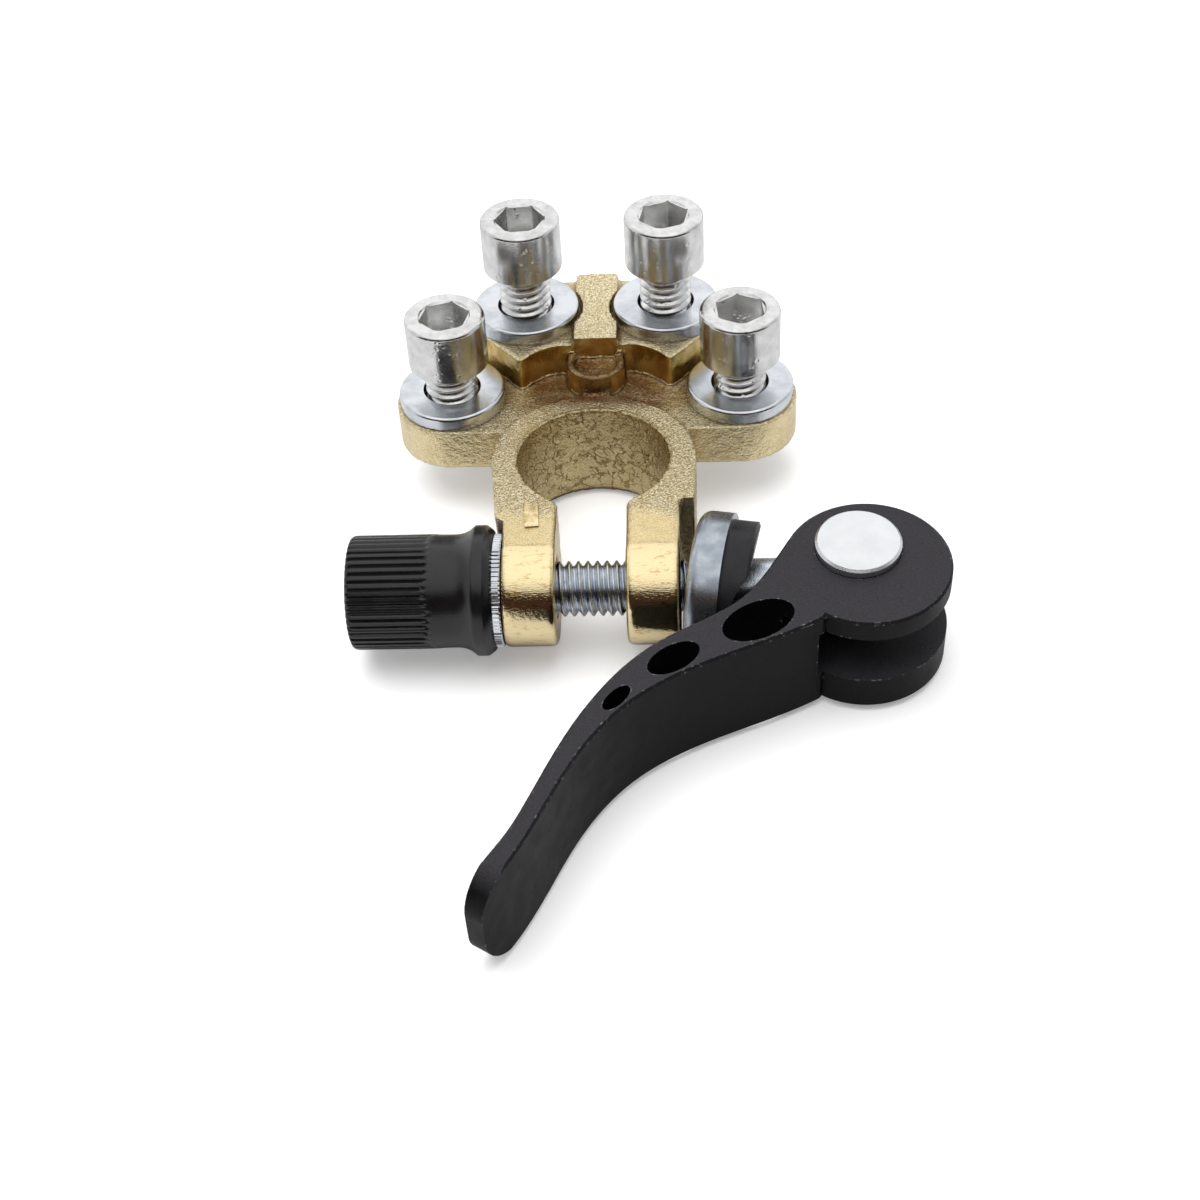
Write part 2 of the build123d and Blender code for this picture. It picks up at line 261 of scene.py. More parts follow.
def buildWorld():
    world = bpy.data.worlds.new("studio")
    bpy.context.scene.world = world
    world.use_nodes = True
    tree = world.node_tree
    tree.nodes.clear()
    x, y, z = axesOf(tree, addNode(tree, "ShaderNodeTexCoord").outputs["Generated"])
    ahead = remap(tree, y, *sky["aheadY"], smooth=True)
    room = times(tree, ahead, remap(tree, z, *sky["roomZ"], smooth=True))
    side = remap(tree, x, *sky["sideX"], smooth=True)
    behind = remap(tree, y, *sky["behindY"], smooth=True)
    overhead = remap(tree, z, *sky["overheadZ"], smooth=True)
    around = blendColours(tree, side, sky["leftSide"], sky["rightSide"])
    for share, name in ((behind, "behind"), (ahead, "ahead"), (room, "room"), (overhead, "overhead")):
        around = blendColours(tree, share, around, sky[name])
    path = addNode(tree, "ShaderNodeLightPath")
    seen = blendColours(tree, path.outputs["Is Camera Ray"], around, sky["seen"])
    background = addNode(tree, "ShaderNodeBackground")
    tree.links.new(seen, background.inputs[0])
    background.inputs[1].default_value = 1.0
    output = addNode(tree, "ShaderNodeOutputWorld")
    tree.links.new(background.outputs[0], output.inputs[0])


buildWorld()
table = {"tilt": 4.3, "atY": 11.0, "atZ": -0.95, "halfWidth": 900.0, "colour": (0.80, 0.80, 0.80),
         "mirroredColour": (0.58, 0.58, 0.59), "glow": 0.27, "rough": 0.9}
bpy.ops.mesh.primitive_plane_add(size=2 * table["halfWidth"] * mm)
floor = bpy.context.object
floor.name = "tableTop"
movedBy(floor, Matrix.Translation((0, table["atY"] * mm, table["atZ"] * mm))
        @ Matrix.Rotation(radians(table["tilt"]), 4, "X"))


def startMaterial(name):
    material = bpy.data.materials.new(name)
    material.use_nodes = True
    tree = material.node_tree
    tree.nodes.clear()
    shader = addNode(tree, "ShaderNodeBsdfPrincipled")
    output = addNode(tree, "ShaderNodeOutputMaterial")
    tree.links.new(shader.outputs[0], output.inputs[0])
    return material, tree, shader


def tableFinish():
    material, tree, shader = startMaterial("paleTable")
    shader.inputs["Roughness"].default_value = table["rough"]
    path = addNode(tree, "ShaderNodeLightPath")
    # metal mirrors the table a little darker, so that its rims stand out
    tone = blendColours(tree, path.outputs["Is Glossy Ray"], table["colour"], table["mirroredColour"])
    tree.links.new(tone, shader.inputs["Base Color"])
    shader.inputs["Emission Color"].default_value = (1, 1, 1, 1)
    glow = times(tree, path.outputs["Is Camera Ray"], table["glow"])
    tree.links.new(glow, shader.inputs["Emission Strength"])
    return material


floor.data.materials.append(tableFinish())

lamp = {"size": 380.0, "place": (-60.0, -40.0, 420.0), "aim": (0.0, -5.0, 5.0), "power": 1.6}
softbox = bpy.data.objects.new("softbox", bpy.data.lights.new("softbox", "AREA"))
bpy.context.scene.collection.objects.link(softbox)
softbox.data.shape = "SQUARE"
softbox.data.size = lamp["size"] * mm
softbox.data.energy = lamp["power"]
spot = Vector(lamp["place"]) * mm
aim = Vector(lamp["aim"]) * mm - spot
softbox.matrix_world = Matrix.Translation(spot) @ aim.to_track_quat("-Z", "Y").to_matrix().to_4x4()
softbox.visible_glossy = False                           # the metal mirrors the sky alone
print("camera, world and table set")


grainRange = (0.3, 0.7)                                  # where nearly all of a noise lies

# cast brass: sandy skin, rubbed jaws, polished noses, a red-brown film in the hollow round the pad, painted
# shade in the corners and on the wall beside the cup
# sizes, depths and places in mm, cells to the mm, tones at the low and the high end of their grain
brass = {
    "sand": 0.22, "pits": 0.30, "fine": 0.11, "patches": 2.6, "stains": 3.4, "dents": 0.75, "scratches": 0.5,
    "reliefDepth": 0.13, "scratchDepth": 0.03, "cornerReach": 2.2,
    "lineCells": 0.78, "bendCells": 1.1, "bend": 1.6, "lineBreaks": 1.3,
    "calmed": {"jaws": 0.78, "noses": 0.85, "plateWall": 0.7},
    "roughChanges": {"upward": 0.05, "film": 0.06, "plateWall": -0.10, "jaws": -0.06, "noses": -0.09},
    "grit": (0.38, 0.58), "wallGrain": (0.36, 0.56), "rubbedGrain": (0.38, 0.66), "amberGrain": (0.35, 0.60),
    "stainEdge": (0.52, 0.70), "streakEdge": (0.55, 0.68), "lineEdge": (0.015, 0.07),
    "breakEdge": (0.44, 0.56),
    "filmGrain": (0.30, 0.62, 0.55, 1.0), "cornerOpen": (0.25, 0.85), "rough": (0.26, 0.14),
    "topFacing": (0.35, 0.75), "wallFacing": (0.0, 0.6), "dentFacing": (0.7, 0.2), "cupShadowFacing": (0.45, 0.8),
    "plateWallUp": (0.5, 0.25), "plateWallFront": (0.1, -0.2),
    "stainShare": 0.45, "cupShadowShare": 0.85, "cornerShadeShare": 0.85, "pitShare": 0.45, "lineShare": 0.7,
    "dentShare": 1.6, "wallShare": 0.55,
    "jawsY": (-7.8, -11.2), "raggedEdge": 0.9, "nosesY": (-14.0, -14.9), "boreRadius": (8.7, 8.4),
    "hollowX": (12.0, 5.5), "hollowFrontY": (7.5, 10.5), "hollowBackY": (17.5, 16.0), "hollowZ": (14.5, 13.5),
    "plateWallY": (11.2, 11.8), "plateWallZ": (10.2, 10.6), "cupShadowX": (9.2, 10.2), "cupShadowY": (-5.0, -8.0),
    "topTones": ((0.44, 0.32, 0.14), (1.0, 0.90, 0.61)), "wallTones": ((0.60, 0.44, 0.18), (1.0, 0.88, 0.57)),
    "boreTones": ((0.56, 0.43, 0.20), (0.80, 0.68, 0.40)), "lineTone": (0.40, 0.29, 0.12),
    "filmTones": ((0.06, 0.026, 0.012), (0.36, 0.19, 0.085)),
    "plateWallTones": ((0.62, 0.40, 0.10), (0.86, 0.66, 0.28)), "stainTone": (0.60, 0.44, 0.19),
    "rubbedTones": ((0.72, 0.56, 0.27), (0.92, 0.78, 0.47)),
    "noseTones": ((0.95, 0.79, 0.46), (0.62, 0.41, 0.16)),
    "cupShadowTone": (0.16, 0.085, 0.03), "cornerShadeTone": (0.20, 0.115, 0.045),
}


def boreLines(tree, place):                              # bent cell edges, broken off here and there
    shift = addNode(tree, "ShaderNodeTexNoise")
    tree.links.new(place, shift.inputs["Vector"])
    shift.inputs["Scale"].default_value = brass["bendCells"] / mm
    scaled = addNode(tree, "ShaderNodeVectorMath", operation="SCALE")
    tree.links.new(shift.outputs["Color"], scaled.inputs[0])
    scaled.inputs["Scale"].default_value = brass["bend"] * mm
    bent = addNode(tree, "ShaderNodeVectorMath", operation="ADD")
    tree.links.new(place, bent.inputs[0])
    tree.links.new(scaled.outputs[0], bent.inputs[1])
    cells = addNode(tree, "ShaderNodeTexVoronoi", feature="DISTANCE_TO_EDGE")
    tree.links.new(bent.outputs[0], cells.inputs["Vector"])
    cells.inputs["Scale"].default_value = brass["lineCells"] / mm
    lines = remap(tree, cells.outputs["Distance"], *brass["lineEdge"])
    breaks = noise(tree, place, brass["lineBreaks"], detail=3.0, seed=0.9)
    broken = remap(tree, breaks, *brass["breakEdge"])
    return maths(tree, "MAXIMUM", lines, broken)


def brassRegions(tree, place, facing, wobble):
    x, y, z = axesOf(tree, place)
    reach = brass["raggedEdge"] * mm
    jawEdge = maths(tree, "ADD", y, remap(tree, wobble, *grainRange, -reach, reach))
    fromAxis = maths(tree, "SQRT", maths(tree, "ADD", times(tree, x, x), times(tree, y, y)))
    hollow = times(
        tree, between(tree, maths(tree, "ABSOLUTE", x), *brass["hollowX"], smooth=True),
        between(tree, y, *brass["hollowFrontY"], smooth=True),
        between(tree, y, *brass["hollowBackY"], smooth=True),
        between(tree, z, *brass["hollowZ"], smooth=True))
    plateWall = times(
        tree, between(tree, y, *brass["plateWallY"]), between(tree, z, *brass["plateWallZ"]),
        remap(tree, facing[2], *brass["plateWallUp"]), remap(tree, facing[1], *brass["plateWallFront"]))
    # painted shade: the right jaw's wall beside the cup is darkened as if shaded by the cup
    cupShadow = times(tree, remap(tree, facing[0], *brass["cupShadowFacing"]), between(tree, x, *brass["cupShadowX"]),
                between(tree, y, *brass["cupShadowY"], smooth=True))
    return {
        "upward": remap(tree, facing[2], *brass["topFacing"], smooth=True),
        "jaws": between(tree, jawEdge, *brass["jawsY"], smooth=True),
        "noses": between(tree, y, *brass["nosesY"], smooth=True),
        "bore": between(tree, fromAxis, *brass["boreRadius"]),
        "film": times(tree, hollow, remap(tree, wobble, *brass["filmGrain"])),
        "plateWall": plateWall, "cupShadow": cupShadow,
    }


def brassColour(tree, place, at, sand, fine, wobble, lines):
    grit = remap(tree, sand, *brass["grit"])
    wall = blendColours(tree, remap(tree, fine, *brass["wallGrain"]), *brass["wallTones"])
    colour = blendColours(tree, at["upward"], wall, blendColours(tree, grit, *brass["topTones"]))
    boreWall = blendColours(tree, lines, brass["lineTone"], blendColours(tree, grit, *brass["boreTones"]))
    colour = blendColours(tree, at["bore"], colour, boreWall)
    colour = blendColours(tree, at["film"], colour, blendColours(tree, grit, *brass["filmTones"]))
    amber = blendColours(tree, remap(tree, wobble, *brass["amberGrain"]), *brass["plateWallTones"])
    colour = blendColours(tree, at["plateWall"], colour, amber)
    stains = remap(tree, noise(tree, place, brass["stains"], detail=4.0, seed=0.3), *brass["stainEdge"])
    colour = blendColours(tree, times(tree, stains, brass["stainShare"]), colour, brass["stainTone"])
    rubbed = blendColours(tree, remap(tree, fine, *brass["rubbedGrain"]), *brass["rubbedTones"])
    colour = blendColours(tree, at["jaws"], colour, rubbed)
    streaks = noise(tree, place, brass["scratches"], detail=5.0, rough=0.7, stretch=(0.35, 1.0, 1.0))
    polished = blendColours(tree, remap(tree, streaks, *brass["streakEdge"]), *brass["noseTones"])
    colour = blendColours(tree, at["noses"], colour, polished)
    # painted shade on the wall beside the cup
    colour = blendColours(tree, times(tree, at["cupShadow"], brass["cupShadowShare"]), colour, brass["cupShadowTone"])
    corner = addNode(tree, "ShaderNodeAmbientOcclusion", samples=6)
    corner.inputs["Distance"].default_value = brass["cornerReach"] * mm
    shade = remap(tree, corner.outputs["AO"], *brass["cornerOpen"], brass["cornerShadeShare"], 0.0)
    return blendColours(tree, shade, colour, brass["cornerShadeTone"])    # painted shade: ambient occlusion darkens the corners


def brassRelief(tree, place, at, facing, sand, lines):
    pits = grains(tree, place, brass["pits"])
    skin = maths(tree, "ADD", sand, times(tree, pits, brass["pitShare"]))
    dents = noise(tree, place, brass["dents"], detail=2.0, seed=0.2)
    onWalls = remap(tree, facing[2], *brass["dentFacing"], 0.0, brass["dentShare"])
    skin = maths(tree, "ADD", skin, times(tree, dents, onWalls))
    skin = times(tree, skin, remap(tree, facing[2], *brass["wallFacing"], brass["wallShare"], 1.0))
    for name, calm in brass["calmed"].items():
        skin = times(tree, skin, maths(tree, "SUBTRACT", 1.0, times(tree, at[name], calm)))
    height = maths(tree, "ADD", skin, times(tree, lines, at["bore"], brass["lineShare"]))
    cast = bump(tree, height, brass["reliefDepth"])
    scratch = noise(tree, place, brass["scratches"], detail=4.0, stretch=(1.0, 5.0, 1.0), seed=0.7)
    return bump(tree, scratch, brass["scratchDepth"], before=cast)


def castBrassFinish():
    material, tree, shader = startMaterial("castBrass")
    place = objectPlace(tree)
    facing = axesOf(tree, addNode(tree, "ShaderNodeTexCoord").outputs["Normal"])
    sand = noise(tree, place, brass["sand"], detail=5.0, rough=0.64)
    fine = noise(tree, place, brass["fine"], detail=3.0, rough=0.6)
    wobble = noise(tree, place, brass["patches"], detail=3.0)
    lines = boreLines(tree, place)
    at = brassRegions(tree, place, facing, wobble)
    colour = brassColour(tree, place, at, sand, fine, wobble, lines)
    tree.links.new(colour, shader.inputs["Base Color"])
    shader.inputs["Metallic"].default_value = 1.0
    rough = remap(tree, sand, *grainRange, *brass["rough"])
    for name, change in brass["roughChanges"].items():
        rough = maths(tree, "ADD", rough, times(tree, at[name], change))
    tree.links.new(rough, shader.inputs["Roughness"])
    tree.links.new(brassRelief(tree, place, at, facing, sand, lines), shader.inputs["Normal"])
    return material


knock = {"size": 0.7, "width": 0.35, "groups": 1.7, "groupEdge": (0.50, 0.62)}


def platedFinish(name, light, dark, rough, patchSize=1.4, grain=0.12, depth=0.02, contrast=(0.38, 0.68),
                 dents=0.0):
    material, tree, shader = startMaterial(name)
    place = objectPlace(tree)
    patches = noise(tree, place, patchSize, detail=5.0)
    fine = noise(tree, place, grain, detail=3.0)
    colour = blendColours(tree, remap(tree, patches, *contrast), light, dark)
    tree.links.new(colour, shader.inputs["Base Color"])
    shader.inputs["Metallic"].default_value = 1.0
    tree.links.new(remap(tree, patches, *grainRange, *rough), shader.inputs["Roughness"])
    relief = bump(tree, fine, depth)
    if dents:                                            # knocks and tool marks, a few tenths across
        knocks = remap(tree, grains(tree, place, knock["size"]), 0.0, knock["width"])
        groups = noise(tree, place, knock["groups"], detail=2.0, seed=0.5)
        spread = remap(tree, groups, *knock["groupEdge"])
        knocks = times(tree, maths(tree, "SUBTRACT", 1.0, knocks), spread)
        relief = bump(tree, knocks, -dents, before=relief)
    tree.links.new(relief, shader.inputs["Normal"])
    return material


moulding = {"patches": 2.2, "grain": 0.16, "contrast": (0.35, 0.68), "topLightFacing": (0.6, 0.95),
            "topLightGrain": (0.3, 0.6, 0.6, 1.0)}


def mouldedFinish(name, light, dark, rough, depth=0.02, shine=0.5, chips=None, paintedTopLight=None):
    material, tree, shader = startMaterial(name)
    place = objectPlace(tree)
    patches = noise(tree, place, moulding["patches"], detail=4.0)
    fine = noise(tree, place, moulding["grain"], detail=3.0)
    colour = blendColours(tree, remap(tree, patches, *moulding["contrast"]), dark, light)
    if paintedTopLight:                                          # painted light: upper faces are paler, broken up by the fine grain
        facing = axesOf(tree, addNode(tree, "ShaderNodeTexCoord").outputs["Normal"])
        topLightShare = times(tree, remap(tree, facing[2], *moulding["topLightFacing"]),
                      remap(tree, fine, *moulding["topLightGrain"]))
        colour = blendColours(tree, topLightShare, colour, paintedTopLight)
    if chips:                                            # worn specks along the rims
        rim = addNode(tree, "ShaderNodeBevel", samples=6)
        rim.inputs["Radius"].default_value = chips["width"] * mm
        plain = addNode(tree, "ShaderNodeNewGeometry")
        turn = addNode(tree, "ShaderNodeVectorMath", operation="DOT_PRODUCT")
        tree.links.new(rim.outputs[0], turn.inputs[0])
        tree.links.new(plain.outputs["Normal"], turn.inputs[1])
        edge = remap(tree, turn.outputs["Value"], *chips["bend"])
        spots = remap(tree, noise(tree, place, chips["size"], detail=5.0, rough=0.7), *chips["share"])
        colour = blendColours(tree, times(tree, edge, spots), colour, chips["colour"])
    tree.links.new(colour, shader.inputs["Base Color"])
    shader.inputs["Specular IOR Level"].default_value = shine
    tree.links.new(remap(tree, patches, *grainRange, *rough), shader.inputs["Roughness"])
    tree.links.new(bump(tree, fine, depth), shader.inputs["Normal"])
    return material


leverChips = {"width": 0.30, "bend": (0.985, 0.90), "size": 0.55, "share": (0.56, 0.66),
              "colour": (0.32, 0.32, 0.33)}
finishes = {
    "castBrass": castBrassFinish(),
    "markBrass": platedFinish("markBrass", (0.95, 0.80, 0.48), (0.62, 0.46, 0.20), (0.14, 0.24), 0.6),
    "threadZinc": platedFinish("threadZinc", (0.66, 0.70, 0.75), (0.42, 0.46, 0.52), (0.16, 0.26)),
    "washerZinc": platedFinish("washerZinc", (0.76, 0.79, 0.82), (0.58, 0.61, 0.65), (0.16, 0.25), 2.6,
                               depth=0.010),
    "cupZinc": platedFinish("cupZinc", (0.50, 0.545, 0.59), (0.29, 0.325, 0.37), (0.22, 0.36), 2.2,
                            depth=0.01),
    "pinZinc": platedFinish("pinZinc", (0.76, 0.78, 0.79), (0.84, 0.85, 0.86), (0.24, 0.34), 2.4,
                            contrast=(0.35, 0.7), dents=0.015),
    "screwBright": platedFinish("screwBright", (0.80, 0.80, 0.79), (0.62, 0.62, 0.61), (0.10, 0.22),
                                depth=0.012, dents=0.05),
    "insertBrass": platedFinish("insertBrass", (0.80, 0.66, 0.34), (0.62, 0.46, 0.20), (0.25, 0.4)),
    "knobBlack": mouldedFinish("knobBlack", (0.009, 0.0085, 0.0095), (0.005, 0.005, 0.006), (0.14, 0.24),
                               shine=0.50),
    "saddleBlack": mouldedFinish("saddleBlack", (0.012, 0.012, 0.014), (0.006, 0.006, 0.007), (0.24, 0.40),
                                 shine=0.30),
    # the lever's upper faces get painted light
    "leverBlack": mouldedFinish("leverBlack", (0.006, 0.006, 0.0065), (0.0035, 0.0035, 0.004), (0.34, 0.48),
                                depth=0.03, shine=0.12, chips=leverChips, paintedTopLight=(0.032, 0.030, 0.034)),
}


def dress(obj, finish):
    obj.data.materials.clear()
    obj.data.materials.append(finishes[finish])


# cast body: the casting's own skin, softened at its edges and made uneven
mark = {"x": -6.3, "y": -9.5, "seat": 11.1, "height": 0.50, "width": 1.5, "length": 4.1, "rim": 0.26,
        "turn": 4.0, "clearX": 1.0, "clearY": 2.4, "clearZ": 0.3, "sunk": 0.7, "edge": 0.07, "smooth": 60}
casting = {"voxel": 0.30, "unevenness": 0.10, "middle": 0.9, "lumpSize": 0.9, "noseY": -14.4}


def castBody():
    body = copyOfNode("terminal_body", "castBody")
    applyModifier(body, "REMESH", mode="VOXEL", voxel_size=casting["voxel"] * mm, use_smooth_shade=True)
    for v in body.data.vertices:                         # a flat seat for the crisp mark
        x, y, z = v.co / mm
        if (abs(x - mark["x"]) < mark["clearX"] and abs(y - mark["y"]) < mark["clearY"]
                and z > mark["seat"] - mark["clearZ"]):
            v.co.z = min(v.co.z, mark["seat"] * mm)
    rough = body.vertex_groups.new(name="rough")
    rough.add([v.index for v in body.data.vertices if v.co.y > casting["noseY"] * mm], 1.0, "REPLACE")
    lumps = bpy.data.textures.new("castLumps", "CLOUDS")
    lumps.noise_scale = casting["lumpSize"] * mm
    applyModifier(body, "DISPLACE", texture=lumps, strength=casting["unevenness"] * mm,
                  mid_level=casting["middle"], texture_coords="LOCAL", vertex_group="rough")
    body.vertex_groups.clear()
    bpy.data.textures.remove(lumps)
    dress(body, "castBrass")
    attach(body, "clamp")
    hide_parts("terminal_body")
    return body


def raisedMark(body):
    bpy.ops.mesh.primitive_cube_add(size=mm)
    bar = bpy.context.object
    bpy.ops.object.mode_set(mode="EDIT")
    bpy.ops.transform.resize(value=(mark["width"], mark["length"], 2 * mark["height"]))
    bpy.ops.object.mode_set(mode="OBJECT")
    for face in bar.data.polygons:
        face.select = face.normal.z > 0.9
    bpy.ops.object.mode_set(mode="EDIT")
    bpy.ops.mesh.select_mode(type="FACE")
    bpy.ops.mesh.inset(thickness=mark["rim"] * mm)
    bpy.ops.transform.translate(value=(0, 0, -mark["sunk"] * mark["height"] * mm))
    bpy.ops.object.mode_set(mode="OBJECT")
    applyModifier(bar, "BEVEL", width=mark["edge"] * mm, segments=3)
    movedBy(bar, Matrix.Translation(Vector((mark["x"], mark["y"], mark["seat"])) * mm)
            @ Matrix.Rotation(radians(mark["turn"]), 4, "Z"))
    smoothBelow(bar, mark["smooth"])
    bar.data.materials.append(finishes["markBrass"])
    joinPieces(body, bar)


raisedMark(castBody())
print("cast body made")

# threads: one pitch of profile wound up its axis, cut square at both ends
thread = {"pitch": 1.0, "root": 2.40, "crest": 2.92, "rounding": 0.03, "steps": 40,
          "shares": (0.10, 0.45, 0.50, 0.60, 0.65)}      # of the pitch, where its profile turns


def threadedRod(name, low, high, tipTaper=0.0, lowTaper=0.0):
    pitch, root, crest = thread["pitch"], thread["root"], thread["crest"]
    shoulder = crest - thread["rounding"]
    corners = zip((root, shoulder, crest, crest, shoulder), thread["shares"])
    profile = [(root, 0)] + [(radius, share * pitch) for radius, share in corners] + [(root, pitch)]
    rod = drawnProfile(name, profile)
    turns = int((high - low) / pitch) + 4
    applyModifier(rod, "SCREW", axis="Z", screw_offset=pitch * mm, steps=thread["steps"],
                  render_steps=thread["steps"], iterations=turns, use_smooth_shade=True)
    editAll(rod)
    bpy.ops.mesh.remove_doubles(threshold=0.004 * mm)
    bpy.ops.transform.translate(value=(0, 0, (low - 1.5 * pitch) * mm))
    for height, outside in ((low, (True, False)), (high, (False, True))):
        bpy.ops.mesh.select_all(action="SELECT")
        bpy.ops.mesh.bisect(plane_co=(0, 0, height * mm), plane_no=(0, 0, 1), use_fill=True,
                            clear_inner=outside[0], clear_outer=outside[1])
    bpy.ops.mesh.select_all(action="SELECT")
    bpy.ops.mesh.normals_make_consistent(inside=False)
    bpy.ops.object.mode_set(mode="OBJECT")
    for v in rod.data.vertices:                          # the end threads run out on a chamfer
        limit = crest * mm
        if lowTaper:
            limit = min(limit, (crest - lowTaper) * mm + (v.co.z - low * mm))
        if tipTaper:
            limit = min(limit, (crest - tipTaper) * mm + (high * mm - v.co.z))
        radius = hypot(v.co.x, v.co.y)
        if radius > limit:
            v.co.x, v.co.y = v.co.x * limit / radius, v.co.y * limit / radius
    return rod


def uprightCylinder(sides, radius, low, high):
    bpy.ops.mesh.primitive_cylinder_add(vertices=sides, radius=radius * mm, depth=(high - low) * mm,
                                        location=(0, 0, (low + high) / 2 * mm))
    return bakePlace(bpy.context.object)


# cross bolt: threaded, but for the end that the lever holds, which is turned plain
boltShape = {"plainFrom": 12.5, "plainRadius": 2.86, "plainEdge": 0.4, "overlap": 0.3, "innerTaper": 0.3,
             "endTaper": 0.6, "smooth": 35}


def crossBolt():
    s = boltShape
    low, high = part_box("clamp_bolt")
    bolt = threadedRod("crossBolt", low.x / mm, s["plainFrom"], s["innerTaper"], s["endTaper"])
    shank = uprightCylinder(72, s["plainRadius"], s["plainFrom"] - s["overlap"], high.x / mm)
    applyModifier(shank, "BEVEL", width=s["plainEdge"] * mm, segments=3, limit_method="ANGLE",
                  angle_limit=radians(60))
    joinPieces(bolt, shank)
    centre = (low + high) / 2
    movedBy(bolt, Matrix.Translation((0, centre.y, centre.z)) @ Matrix.Rotation(pi / 2, 4, "Y"))
    smoothBelow(bolt, s["smooth"])
    dress(bolt, "threadZinc")
    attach(bolt, "bolt")
    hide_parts("clamp_bolt")


crossBolt()
print("cross bolt made")

# lug screws: turned head with a hexagon socket on a threaded shank
lugScrew = {"headRadius": 4.45, "headHeight": 6.0, "headEdge": 0.45, "acrossFlats": 5.0, "socketDepth": 3.2,
            "mouth": 0.15, "neck": 0.9, "neckGap": 0.12, "overlap": 0.3, "length": 12.0, "endTaper": 0.7,
            "smooth": 35}
socketTurns = {"front_left": 17, "front_right": 35, "rear_left": 4, "rear_right": 20}


def lugScrewModel():
    s = lugScrew
    corner = s["acrossFlats"] / sqrt(3)
    head = uprightCylinder(96, s["headRadius"], 0, s["headHeight"])
    head.name = "screwHead"
    pick(head)
    bpy.ops.object.mode_set(mode="EDIT")
    bpy.ops.mesh.select_all(action="DESELECT")
    bpy.ops.object.mode_set(mode="OBJECT")
    for edge in head.data.edges:
        edge.select = all(head.data.vertices[i].co.z > 0.99 * s["headHeight"] * mm for i in edge.vertices)
    bpy.ops.object.mode_set(mode="EDIT")
    bpy.ops.mesh.select_mode(type="EDGE")
    bpy.ops.mesh.bevel(offset=s["headEdge"] * mm, segments=5)
    bpy.ops.object.mode_set(mode="OBJECT")
    top, deep = s["headHeight"], s["socketDepth"]
    combine(head, uprightCylinder(6, corner, top - deep, top + deep), "DIFFERENCE")
    bpy.ops.mesh.primitive_cone_add(
        vertices=64, radius1=(corner - s["mouth"]) * mm, radius2=(corner + s["mouth"]) * mm,
        depth=2 * s["mouth"] * mm, location=(0, 0, top * mm))
    combine(head, bakePlace(bpy.context.object), "DIFFERENCE")
    shank = threadedRod("shank", -s["length"], -s["neck"], lowTaper=s["endTaper"])
    neck = uprightCylinder(64, thread["crest"] - s["neckGap"], -s["neck"], s["overlap"])
    return joinPieces(head, neck, shank)


def lugScrews():
    model = lugScrewModel()
    for where, turn in socketTurns.items():
        low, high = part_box("screw_" + where)
        centre = (low + high) / 2
        screw = copyOfPiece(model, "lugScrew_" + where)
        movedBy(screw, Matrix.Translation((centre.x, centre.y, high.z - lugScrew["headHeight"] * mm))
                @ Matrix.Rotation(radians(turn + 30), 4, "Z"))
        smoothBelow(screw, lugScrew["smooth"])
        dress(screw, "screwBright")
        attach(screw, "screw_" + where)
        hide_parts("screw_" + where)
    bpy.data.objects.remove(model)


lugScrews()
print("lug screws made")

def luckOf(index, factor, shift=0.0):                    # from 0 to 1, the same at every run
    return abs(sin(index * factor + shift)) % 1


def varied(shares, luck):
    return shares[0] + shares[1] * luck


def turned(name, profile, steps):
    piece = drawnProfile(name, profile)
    applyModifier(piece, "SCREW", axis="Z", screw_offset=0, steps=steps, render_steps=steps,
                  use_merge_vertices=True, merge_threshold=0.001 * mm)
    return piece


def pushIn(v, radius, depth):
    v.co.x *= (radius - depth) / radius
    v.co.y *= (radius - depth) / radius


def weld(piece):
    editAll(piece)
    bpy.ops.mesh.remove_doubles(threshold=0.0005 * mm)
    bpy.ops.mesh.normals_make_consistent(inside=False)
    bpy.ops.object.mode_set(mode="OBJECT")


# knob: turned body whose grip is fluted, each flute a little different
knobShape = {
    "profile": [
        (0, 0), (5.1, 0), (5.55, 0.02), (5.85, 0.16), (6.0, 0.42), (6.04, 0.7), (6.04, 2), (6.04, 4),
        (6.04, 6), (6.04, 7.3), (6.04, 7.8), (6.04, 8.1), (6.04, 8.4), (6.04, 8.7), (6.03, 9.1),
        (5.98, 9.5), (5.96, 11.1), (6.0, 11.6), (6.12, 12.1), (6.36, 12.6), (6.66, 13.0), (6.84, 13.2),
        (6.88, 13.35), (6.88, 14.35), (6.80, 14.5), (6.42, 15.0), (6.3, 15.1), (4.41, 15.1), (4.41, 6.1),
        (2.99, 6.1), (2.99, 5.1), (0, 5.1)],
    "flutes": 44, "depth": 0.30, "halfWidth": 0.30, "end": 8.5, "endSpread": 0.35, "facets": 10,
    "runOut": 0.45, "flank": 1.25, "innerRadius": 5.5, "furthest": 9, "faintRadius": 5.7, "faint": 0.6,
    "depthShares": (0.75, 0.35), "depthSeed": (12.9898, 4.1), "widthShares": (0.8, 0.35),
    "widthSeed": (78.233, 1.7), "smooth": 28,
}


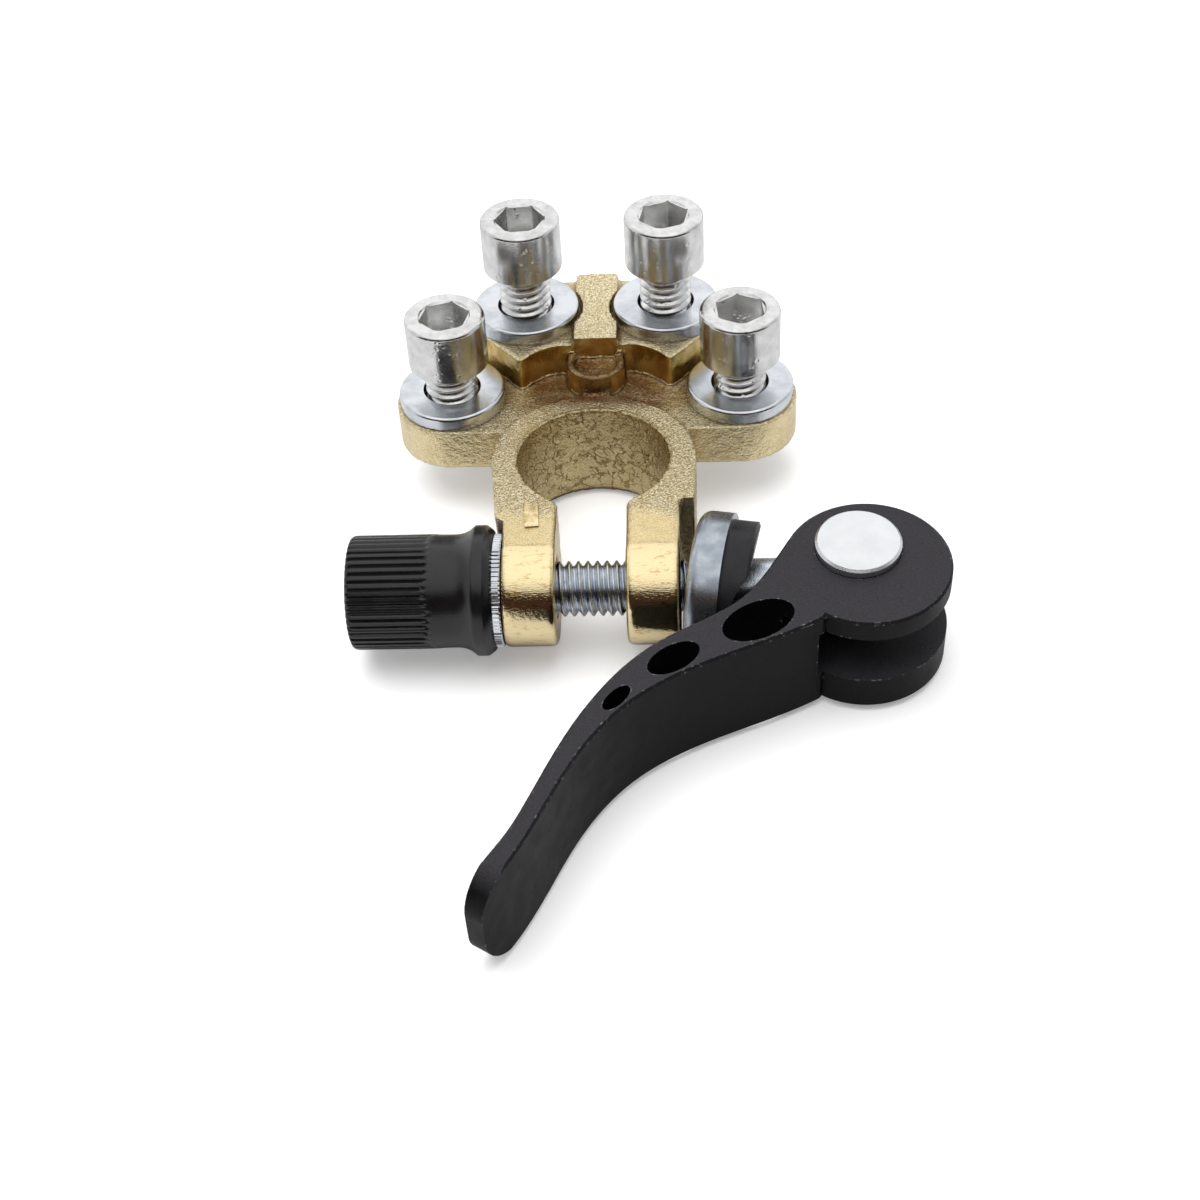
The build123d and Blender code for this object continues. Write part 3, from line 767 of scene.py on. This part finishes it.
def knobGrip():
    shape = knobShape
    low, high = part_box("knob")
    centre = (low + high) / 2
    grip = turned("knobGrip", shape["profile"], shape["flutes"] * shape["facets"])
    for v in grip.data.vertices:
        radius, along = hypot(v.co.x, v.co.y) / mm, v.co.z / mm
        if radius < shape["innerRadius"] or along > shape["furthest"]:
            continue
        turn = atan2(v.co.y, v.co.x) / (2 * pi) % 1 * shape["flutes"]
        flute = int(turn + 0.02) % shape["flutes"]
        luck, other = luckOf(flute, *shape["depthSeed"]), luckOf(flute, *shape["widthSeed"])
        halfWidth = shape["halfWidth"] * varied(shape["widthShares"], other)
        across = max(0, 1 - abs((turn - flute) - 0.5) / halfWidth)
        end = shape["end"] + shape["endSpread"] * (luck - 0.5)
        runOut = min(1, max(0, (end - along) / shape["runOut"]))
        depth = shape["depth"] * varied(shape["depthShares"], luck) * min(1, across * shape["flank"]) * runOut
        if radius < shape["faintRadius"]:
            depth *= shape["faint"]
        pushIn(v, radius, depth)
    weld(grip)
    movedBy(grip, Matrix.Translation((low.x, centre.y, centre.z)) @ Matrix.Rotation(pi / 2, 4, "Y"))
    smoothBelow(grip, shape["smooth"])
    dress(grip, "knobBlack")
    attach(grip, "knob")
    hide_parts("knob")


knobGrip()
print("knob made")

# the knob's washer has a nicked rim
nicks = {"count": 76, "facets": 4, "depth": 0.14, "edge": 0.16, "depthShares": (0.5, 0.6),
         "depthSeed": 12.9898, "smooth": 20}


def nickedWasher():
    low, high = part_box("nut_washer")
    centre = (low + high) / 2
    outer, thick = (high.z - low.z) / 2 / mm, (high.x - low.x) / mm
    inner = min(hypot(v.co.y - centre.y, v.co.z - centre.z) for v in nodes["nut_washer"].data.vertices) / mm
    edge, facets = nicks["edge"], nicks["facets"]
    steps = facets * nicks["count"]
    washer = turned("nickedWasher", [
        (inner, 0), (outer - edge, 0), (outer, edge), (outer, thick - edge), (outer - edge, thick),
        (inner, thick), (inner, 0)], steps)
    for v in washer.data.vertices:
        radius = hypot(v.co.x, v.co.y) / mm
        spoke = round(atan2(v.co.y, v.co.x) / (2 * pi) * steps) % steps
        if radius > outer - 0.01 and spoke % facets in (1, 2):
            luck = luckOf(spoke // facets, nicks["depthSeed"])
            pushIn(v, radius, nicks["depth"] * varied(nicks["depthShares"], luck))
    weld(washer)
    movedBy(washer, Matrix.Translation((low.x, centre.y, centre.z)) @ Matrix.Rotation(pi / 2, 4, "Y"))
    smoothBelow(washer, nicks["smooth"])
    dress(washer, "washerZinc")
    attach(washer, "knob")
    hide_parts("nut_washer")


nickedWasher()
print("knob washer made")

# pieces whose CAD shape is right keep it and get their finish
for nodeName, finish in {
        "knob_insert": "insertBrass", "thrust_cup": "cupZinc",
        "saddle": "saddleBlack", "cam_lever": "leverBlack", "barrel_pin": "pinZinc",
        "washer_front_left": "washerZinc", "washer_front_right": "washerZinc",
        "washer_rear_left": "washerZinc", "washer_rear_right": "washerZinc"}.items():
    dress(nodes[nodeName], finish)
print("finishes set")
